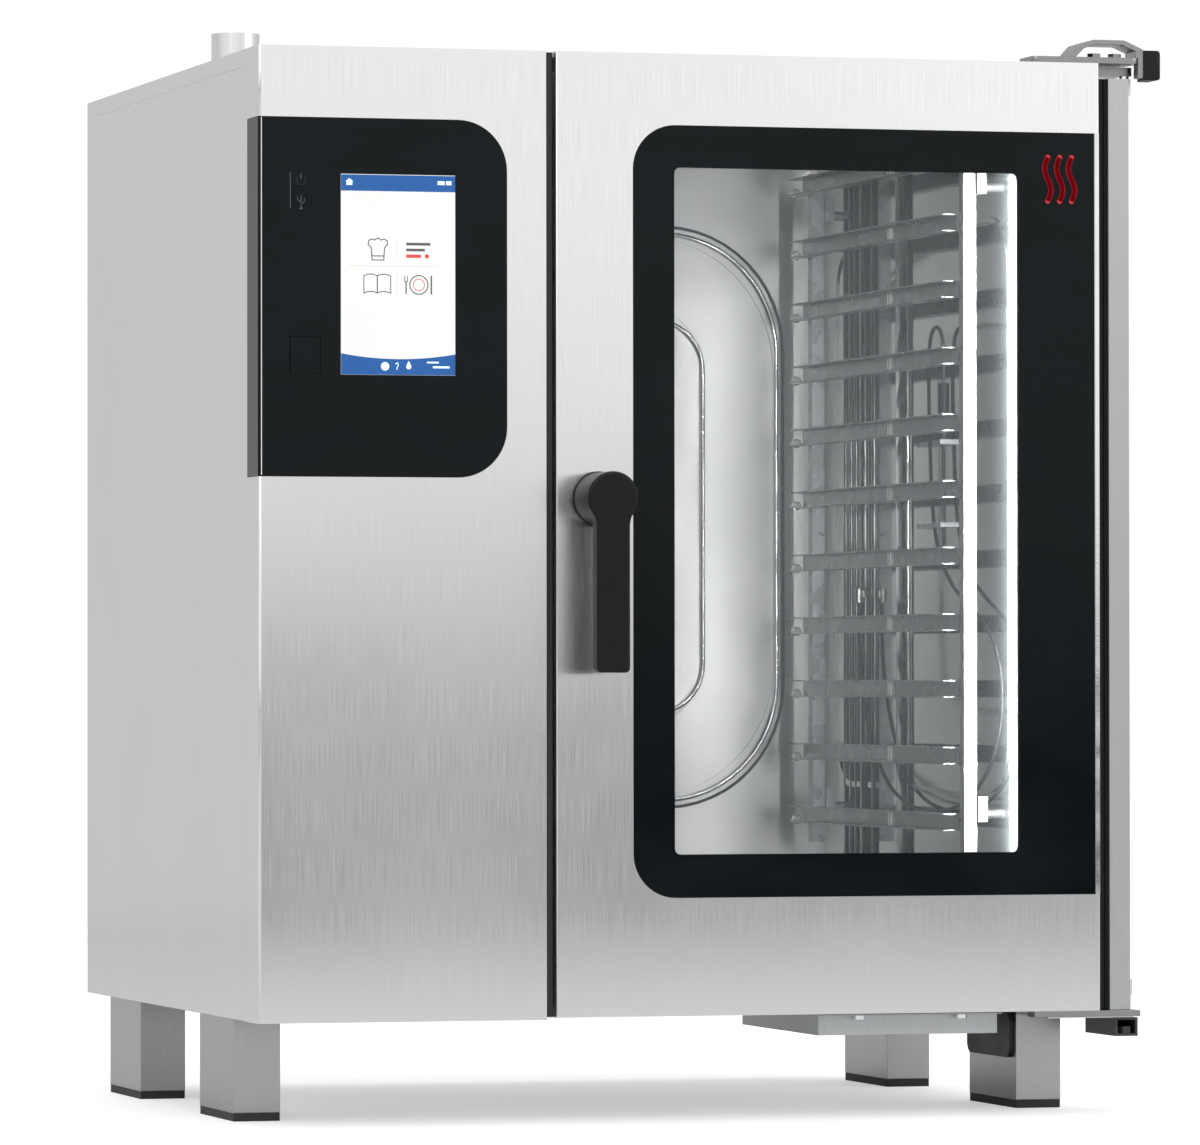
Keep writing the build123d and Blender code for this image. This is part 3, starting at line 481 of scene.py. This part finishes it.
icons += stroke(circle(*PLATE, 9.2), 1.0, True)
icons += stroke(moved(*PLATE, [(-13, -8.6), (-13, 2)]), 1.3)
icons += stroke(moved(*PLATE, [(-14.4, 8.4), (-14.2, 3), (-11.8, 3), (-11.6, 8.4)]), 0.8)
icons += stroke(moved(*PLATE, [(12.6, -8.6), (12.6, 8.6)]), 1.5)
icons += [rectangle((149, 173.6), (863.6, 866.2)), rectangle((149, 168), (857.8, 860.4))]
on_screen("screen_icons", icons, 0.14, 0.08, "ink")
red_icons = stroke(circle(*PLATE, 5.6), 0.7, True)
red_icons += [rectangle((149, 164), (851.4, 854.6)), circle(170, 853, 2.2, 20)]
on_screen("screen_red_icons", red_icons, 0.15, 0.08, "red")
house = [(88.6, 922), (88.6, 925.4), (87.6, 925.4), (91.6, 928.8), (95.6, 925.4), (94.6, 925.4), (94.6, 922)]
drop = moved(151.6, 745.2,
             [(0, 5), (-2.2, 0.8), (-2.6, -1.6), (-1.2, -3.2), (1.2, -3.2), (2.6, -1.6), (2.2, 0.8)])
hook = [(138, 747), (140.4, 748.2), (141, 745.6), (139.6, 743.4), (139.6, 741.6)]
pale_icons = [house, circle(127.6, 744.6, 4.2, 28), drop, rectangle((181, 188), (923.4, 927.2)),
              rectangle((189.4, 195), (923.4, 927.2)), *stroke(hook, 0.8),
              rectangle((170, 182), (748, 749.6)), rectangle((176, 193), (743.2, 745.2))]
on_screen("screen_pale_icons", pale_icons, 0.15, 0.06, "pale")

# Faint symbols on the control glass: a power sign, a fork-like sign and a line beside them.
POWER, FORK = (43, 926), (43, 899)
symbols = stroke(circle(*POWER, 4.6, 30, math.radians(125), math.radians(290)), 0.9)
symbols += stroke(moved(*POWER, [(0, 1), (0, 6.6)]), 0.9)
symbols += stroke(moved(*FORK, [(0, 0), (0, 12)]), 0.8)
symbols += stroke(moved(*FORK, [(0, 3), (3.6, 6.5), (3.6, 9)]), 0.8)
symbols += stroke(moved(*FORK, [(0, 5), (-3.6, 8.5), (-3.6, 10.5)]), 0.8)
symbols += [circle(43, 898.6, 1.5, 14), rectangle((31.7, 32.5), (898, 933.6))]
polygons("panel_symbols", symbols, -1.05, 0.08, SCREEN["glow"], "cabinet")
# A painted highlight: a thin lit pale line along the control glass's front-left edge, where its bevel catches
# the light.
polygons("panel_edge_painted_highlight", [rectangle((2.7, 3.6), (637.5, 987))], -1.04, 0.05, SCREEN["line"], "cabinet")

STEAM_X, STEAM_Z, STEAM_PITCH, STEAM_HEIGHT, STEAM_SWING, STEAM_WIDTH = 815.5, 918, 12.6, 44, 3.4, 5.4
steam = []
for i in range(3):
    steam += stroke(wave(STEAM_X + STEAM_PITCH * i, STEAM_Z, STEAM_HEIGHT, STEAM_SWING), STEAM_WIDTH)
# The red steam mark on the door: print with a faint painted glow.
polygons("door_mark_painted_glow", steam, -0.12, 0.14, SCREEN["door_red"], "door")


# ---- chamber details ----
def solid_from(name, verts, faces, material, body, smooth=True, bevel=0.0):
    """A mesh piece in metres that rides on a body."""
    mesh = bpy.data.meshes.new(name)
    mesh.from_pydata(verts, [], faces)
    mesh.materials.append(material)
    for face in mesh.polygons:
        face.use_smooth = smooth
    piece = bpy.data.objects.new(name, mesh)
    bpy.context.collection.objects.link(piece)
    if bevel:
        rounded_edges(piece, bevel)
    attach(piece, body)


def prism(outline, axis, span, verts, faces):
    """A straight bar with a closed outline, from one place to another along an axis."""
    first, count = len(verts), len(outline)
    for place in span:
        for u, v in outline:
            verts.append(at(*{"z": (u, v, place), "y": (u, place, v), "x": (place, u, v)}[axis]))
    faces.append([first + i for i in reversed(range(count))])
    faces.append([first + count + i for i in range(count)])
    faces += [[first + i, first + (i + 1) % count, first + count + (i + 1) % count, first + count + i]
              for i in range(count)]


def half_round(low, high, wall, height, count=10):
    """The section of a bead pressed out of the right wall, as (X, Y) places."""
    middle, half = (low + high) / 2, (high - low) / 2
    return [(wall - height * math.sin(math.pi * i / count), middle - half * math.cos(math.pi * i / count))
            for i in range(count + 1)]


CHAMBER_RIGHT, CHAMBER_REAR, BEAD_SPAN = 811.9, 731.8, (232, 984)
# Each upright bead's lowest Y, highest Y and height.
WALL_BEADS = [(432, 468, 8), (548, 556, 4), (578, 592, 6), (612, 618, 3), (630, 636, 3), (650, 657, 3)]
verts, faces = [], []
for low, high, height in WALL_BEADS:
    prism(half_round(low, high, CHAMBER_RIGHT, height), "z", BEAD_SPAN, verts, faces)
# The beads get a lighter stainless than the wall they are pressed from, as painted highlight.
solid_from("wall_beads", verts, faces, MATERIALS["bright_stainless"], "cabinet")


def rounded(x, z, radius, count=12):
    """A rounded rectangle's outline as (X, Z) places, counterclockwise from its lower right."""
    points = []
    for cx, cz, start in ((x[1] - radius, z[0] + radius, -90), (x[1] - radius, z[1] - radius, 0),
                          (x[0] + radius, z[1] - radius, 90), (x[0] + radius, z[0] + radius, 180)):
        for i in range(count + 1):
            angle = math.radians(start + 90 * i / count)
            points.append((cx + radius * math.cos(angle), cz + radius * math.sin(angle)))
    return points


def ring(x, z, radius, wall_y, thick, verts, faces, sides=8):
    """A round bead, half sunk in the rear wall, along a rounded rectangle."""
    outer = rounded(x, z, radius)
    first, count = len(verts), len(outer)
    for i, (px, pz) in enumerate(outer):
        ahead, behind = outer[(i + 1) % count], outer[i - 1]
        length = math.hypot(ahead[0] - behind[0], ahead[1] - behind[1]) or 1
        nx, nz = (ahead[1] - behind[1]) / length, -(ahead[0] - behind[0]) / length
        for k in range(sides):
            angle = 2 * math.pi * k / sides
            out, up = thick * math.cos(angle), thick * math.sin(angle)
            verts.append(at(px + nx * out, wall_y - up, pz + nz * out))
    for i in range(count):
        for k in range(sides):
            a, b = first + i * sides, first + ((i + 1) % count) * sides
            faces.append([a + k, a + (k + 1) % sides, b + (k + 1) % sides, b + k])


# Two pressed beads on the rear wall, and a dark joint around the outer one.
verts, faces = [], []
ring((447, 757), (306, 923), 128, CHAMBER_REAR, 2.6, verts, faces)
ring((531, 673), (402, 828), 52, CHAMBER_REAR, 2.6, verts, faces)
# These beads too get the lighter stainless, as painted highlight.
solid_from("rear_wall_beads", verts, faces, MATERIALS["bright_stainless"], "cabinet")
verts, faces = [], []
ring((439, 765), (298, 931), 134, CHAMBER_REAR + 1, 1.6, verts, faces)
solid_from("rear_wall_joint", verts, faces, MATERIALS["dark_steel"], "cabinet")

# Each rail ends in two short knobs and has a pair of small stops near its middle.
RAIL_COUNT, RAIL_PITCH, LOWEST_RAIL, RAIL_FACE, RAIL_END = 11, 68, 291.5, 767.0, 661.0
RACK_MIDDLE = 602
KNOBS = [(RAIL_FACE - 9, RAIL_END + 1.5, 5.2), (RAIL_FACE + 9, RAIL_END - 10, 4.4)]
KNOB_HALF, KNOB_SIDES, KNOB_DROP = 3, 16, 6
STOP_PLACES, STOP_HALF_X, STOP_HALF_Y, STOP_HALF_Z, STOP_INSET = (352, 361), 0.7, 1.3, 7, 2.2
for side, body in ((1, "rack_right"), (-1, "rack_left")):
    knob_verts, knob_faces = [], []
    stop_verts, stop_faces = [], []
    for step in range(RAIL_COUNT):
        z = LOWEST_RAIL + RAIL_PITCH * step
        for x, y, radius in KNOBS:
            outline = [(RACK_MIDDLE + side * (u - RACK_MIDDLE), v)
                       for u, v in circle(x, z - KNOB_DROP, radius, KNOB_SIDES)]
            prism(outline, "y", (y - KNOB_HALF, y + KNOB_HALF), knob_verts, knob_faces)
        x = RACK_MIDDLE + side * (RAIL_FACE - STOP_INSET - RACK_MIDDLE)
        for y in STOP_PLACES:
            outline = rectangle((x - STOP_HALF_X, x + STOP_HALF_X), (y - STOP_HALF_Y, y + STOP_HALF_Y))
            prism(outline, "z", (z - STOP_HALF_Z, z + STOP_HALF_Z), stop_verts, stop_faces)
    # The knobs and stops get a lighter stainless than the rails, as painted highlight.
    solid_from(f"{body}_end_knobs", knob_verts, knob_faces, MATERIALS["bright_stainless"], body,
               bevel=0.0012)
    solid_from(f"{body}_stops", stop_verts, stop_faces, MATERIALS["bright_stainless"], body,
               False)

# ---- the dark seal between the control panel and the door ----
panel_edge = (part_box("control_panel")[1][0] - DATUM.x) * 1000
door_edge = (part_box("door_skin")[0][0] - DATUM.x) * 1000
door_low, door_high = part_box("door_skin")[0][2] * 1000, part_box("door_skin")[1][2] * 1000
lip = [(panel_edge + 0.05, 18), (panel_edge + 0.05, 8), (panel_edge + 1.2, 5.5), (door_edge - 2.4, 6),
       (door_edge - 1.0, 9), (door_edge - 1.6, 14), (door_edge - 2.6, 18)]
verts, faces = [], []
prism(lip[::-1], "z", (door_low + 1, door_high - 1), verts, faces)
solid_from("door_gap_seal", verts, faces, MATERIALS["gasket_rubber"], "cabinet", False,
           bevel=0.0004)

# ---- the back ----
REAR_FACE = 777.5
LOUVRE_PLACES, LOUVRE_COUNT, LOUVRE_PITCH, LOUVRE_LENGTH = [(60, 760), (60, 420), (620, 820)], 11, 15, 180
hood = [(-0.2, 0), (4.2, 0), (4.0, 2.5), (1.6, 7.5), (-0.2, 9)]
verts, faces = [], []
for low_x, low_z in LOUVRE_PLACES:
    for row in range(LOUVRE_COUNT):
        prism(moved(REAR_FACE, low_z + LOUVRE_PITCH * row, hood), "x", (low_x, low_x + LOUVRE_LENGTH),
              verts, faces)
solid_from("rear_louvres", verts, faces, MATERIALS["galvanised"], "cabinet", False,
           bevel=0.0008)


def screw_heads(name, places, radius, material, body, sides=16):
    """Domed screw heads with a hexagonal socket, on faces that look backwards."""
    # Each ring's radius and height as shares of the head's radius; the two narrowest are the socket.
    profile = [(1.0, 0.0), (1.0, 0.25), (0.8, 0.55), (0.52, 0.66), (0.46, 0.5), (0.46, 0.3)]
    verts, faces = [], []
    for x, y, z in places:
        first = len(verts)
        for share, height in profile:
            for k in range(sides):
                angle = 2 * math.pi * (round(k * 6 / sides) / 6 if share < 0.5 else k / sides)
                verts.append(at(x + radius * share * math.cos(angle), y + radius * height,
                                z + radius * share * math.sin(angle)))
        for row in range(len(profile) - 1):
            for k in range(sides):
                a, b = first + row * sides, first + (row + 1) * sides
                faces.append([a + k, b + k, b + (k + 1) % sides, a + (k + 1) % sides])
        last = first + (len(profile) - 1) * sides
        faces.append([last + k for k in reversed(range(sides))])
        faces.append([first + k for k in range(sides)])
    solid_from(name, verts, faces, material, body, False)


# Cover plates round the water inlets and the cable gland, down to the panel's lower edge.
FITTING_Z, PLATE_HALF, PLATE_DROP, PLATE_THICK = 150, 24, 42.5, 1.2
FITTING_HOLES = [(120, 18.4), (200, 13.6), (260, 13.6)]  # X and radius
verts, faces = [], []
for x, hole in FITTING_HOLES:
    outline = [(x + PLATE_HALF * u, FITTING_Z + (PLATE_HALF if v > 0 else PLATE_DROP) * v)
               for u, v in rounded((-1, 1), (-1, 1), 0.15, 5)]
    inner = circle(x, FITTING_Z, hole, 24, -math.pi / 4)
    first = len(verts)
    for y in (REAR_FACE, REAR_FACE + PLATE_THICK):
        verts += [at(px, y, pz) for px, pz in outline] + [at(px, y, pz) for px, pz in inner]
    side_count = len(outline)
    rear = side_count + len(inner)
    for i in range(side_count):
        a, b = i, (i + 1) % side_count
        c, d = side_count + b, side_count + a
        faces.append([first + rear + v for v in (d, c, b, a)])
        faces.append([first + v for v in (a, b, c, d)])
        faces.append([first + a, first + rear + a, first + rear + b, first + b])
        faces.append([first + d, first + c, first + rear + c, first + rear + d])
solid_from("fitting_plates", verts, faces, MATERIALS["galvanised"], "cabinet", False)

screw_places = [(x, REAR_FACE, z) for x in (16, 300, 575, 859) for z in (122, 330, 560, 790, 1012)]
screw_heads("rear_screws", screw_places, 4.6, MATERIALS["chrome"], "cabinet")

# ---- floor, room and lights ----
FLOOR_REACH, FLOOR_LIFT = 6, 0.46
ROOM_STRENGTH, REAR_LEVEL, BACKDROP_LEVEL = 0.60, 1.15, 1.7
# The room's brightness against direction, from a little below the horizon (0) to a little above it (1).
ROOM_LEVELS = [(0.0, 1.3), (0.29, 1.2), (0.34, 0.10), (0.44, 0.10), (0.52, 1.0), (0.60, 1.75), (1.0, 1.7)]

floor_mesh = bpy.data.meshes.new("floor")
corners = rectangle((-FLOOR_REACH, FLOOR_REACH), (-FLOOR_REACH, FLOOR_REACH))
floor_mesh.from_pydata([(x, y, 0) for x, y in corners], [], [(0, 1, 2, 3)])
floor = bpy.data.objects.new("floor", floor_mesh)
bpy.context.collection.objects.link(floor)
floor_mat, floor_tree, floor_shader = new_material("floor", (0.93, 0.93, 0.925), 0.6)
floor_shader.inputs["Emission Color"].default_value = (1, 1, 1, 1)
lift = floor_tree.nodes.new("ShaderNodeMath")
lift.operation = "MULTIPLY"
lift.inputs[1].default_value = FLOOR_LIFT
floor_rays = floor_tree.nodes.new("ShaderNodeLightPath")
floor_tree.links.new(floor_rays.outputs["Is Camera Ray"], lift.inputs[0])
floor_tree.links.new(lift.outputs[0], floor_shader.inputs["Emission Strength"])
tint(floor_tree, pattern(floor_tree, 2, (1, 1, 1), 3), (0.66, 0.66, 0.655), (0.68, 0.68, 0.675),
     floor_shader)
floor_mesh.materials.append(floor_mat)

world = bpy.data.worlds.new("studio")
bpy.context.scene.world = world
world.use_nodes = True
wt = world.node_tree


def band(value, half):
    """A world direction's part carried from -half .. half to 0 .. 1."""
    node = wt.nodes.new("ShaderNodeMapRange")
    node.inputs["From Min"].default_value = -half
    node.inputs["From Max"].default_value = half
    wt.links.new(value, node.inputs["Value"])
    return node.outputs["Result"]


def gives_way(colour, factor, grey):
    """A colour that gives way to an even grey where the factor is 1."""
    node = wt.nodes.new("ShaderNodeMix")
    node.data_type = "RGBA"
    sockets = {socket.name: socket for socket in node.inputs if socket.type == "RGBA"}
    sockets["B"].default_value = (grey, grey, grey, 1)
    wt.links.new(colour, sockets["A"])
    wt.links.new(factor, node.inputs["Factor"])
    return next(socket for socket in node.outputs if socket.type == "RGBA")


direction = wt.nodes.new("ShaderNodeTexCoord")
split = wt.nodes.new("ShaderNodeSeparateXYZ")
wt.links.new(direction.outputs["Generated"], split.inputs["Vector"])
room = wt.nodes.new("ShaderNodeValToRGB")
ramp = room.color_ramp
ramp.elements[0].position, ramp.elements[1].position = ROOM_LEVELS[0][0], ROOM_LEVELS[-1][0]
for position, _ in ROOM_LEVELS[1:-1]:
    ramp.elements.new(position)
for element, (_, grey) in zip(ramp.elements, ROOM_LEVELS):
    element.color = (grey, grey, grey, 1)
wt.links.new(band(split.outputs["Z"], 0.10), room.inputs["Fac"])
surroundings = gives_way(room.outputs["Color"], band(split.outputs["Y"], 0.3), REAR_LEVEL)
rays = wt.nodes.new("ShaderNodeLightPath")
seen = gives_way(surroundings, rays.outputs["Is Camera Ray"], BACKDROP_LEVEL)
background = wt.nodes["Background"]
wt.links.new(seen, background.inputs["Color"])
background.inputs["Strength"].default_value = ROOM_STRENGTH


def lamp(name, place, target, size, power, tall=None):
    """A rectangular soft light that faces a target."""
    data = bpy.data.lights.new(name, "AREA")
    data.shape = "RECTANGLE"
    data.size, data.size_y = size, tall or size
    data.energy = power
    light = bpy.data.objects.new(name, data)
    bpy.context.collection.objects.link(light)
    light.location = place
    light.rotation_euler = (Vector(target) - Vector(place)).to_track_quat("-Z", "Y").to_euler()
    return light


lamp("key", (-2.2, -3.4, 3.2), (0, 0, 0.6), 2.6, 34)
lamp("fill", (2.8, -2.6, 2.0), (0, 0, 0.5), 2.2, 18)
lamp("top", (0.2, 0.4, 4.2), (0, 0, 0.8), 3.2, 52)
led = lamp("door_led", at(801, 43, 605), at(801, 200, 605), 0.012, 2.6, 0.70)
led.visible_camera = False
led.parent = frame["bodies"]["door"]
for name, place, target, wide, tall, power in (
    ("chamber_top", at(600, 200, 985), at(620, 735, 500), 0.40, 0.30, 0.34),
    ("chamber_low", at(600, 200, 235), at(640, 735, 640), 0.40, 0.20, 0.16),
    ("chamber_front", at(560, 75, 620), at(640, 735, 620), 0.22, 0.62, 0.36),
):
    lamp(name, place, target, wide, power, tall).visible_camera = False

bpy.context.scene.view_settings.view_transform = "Standard"
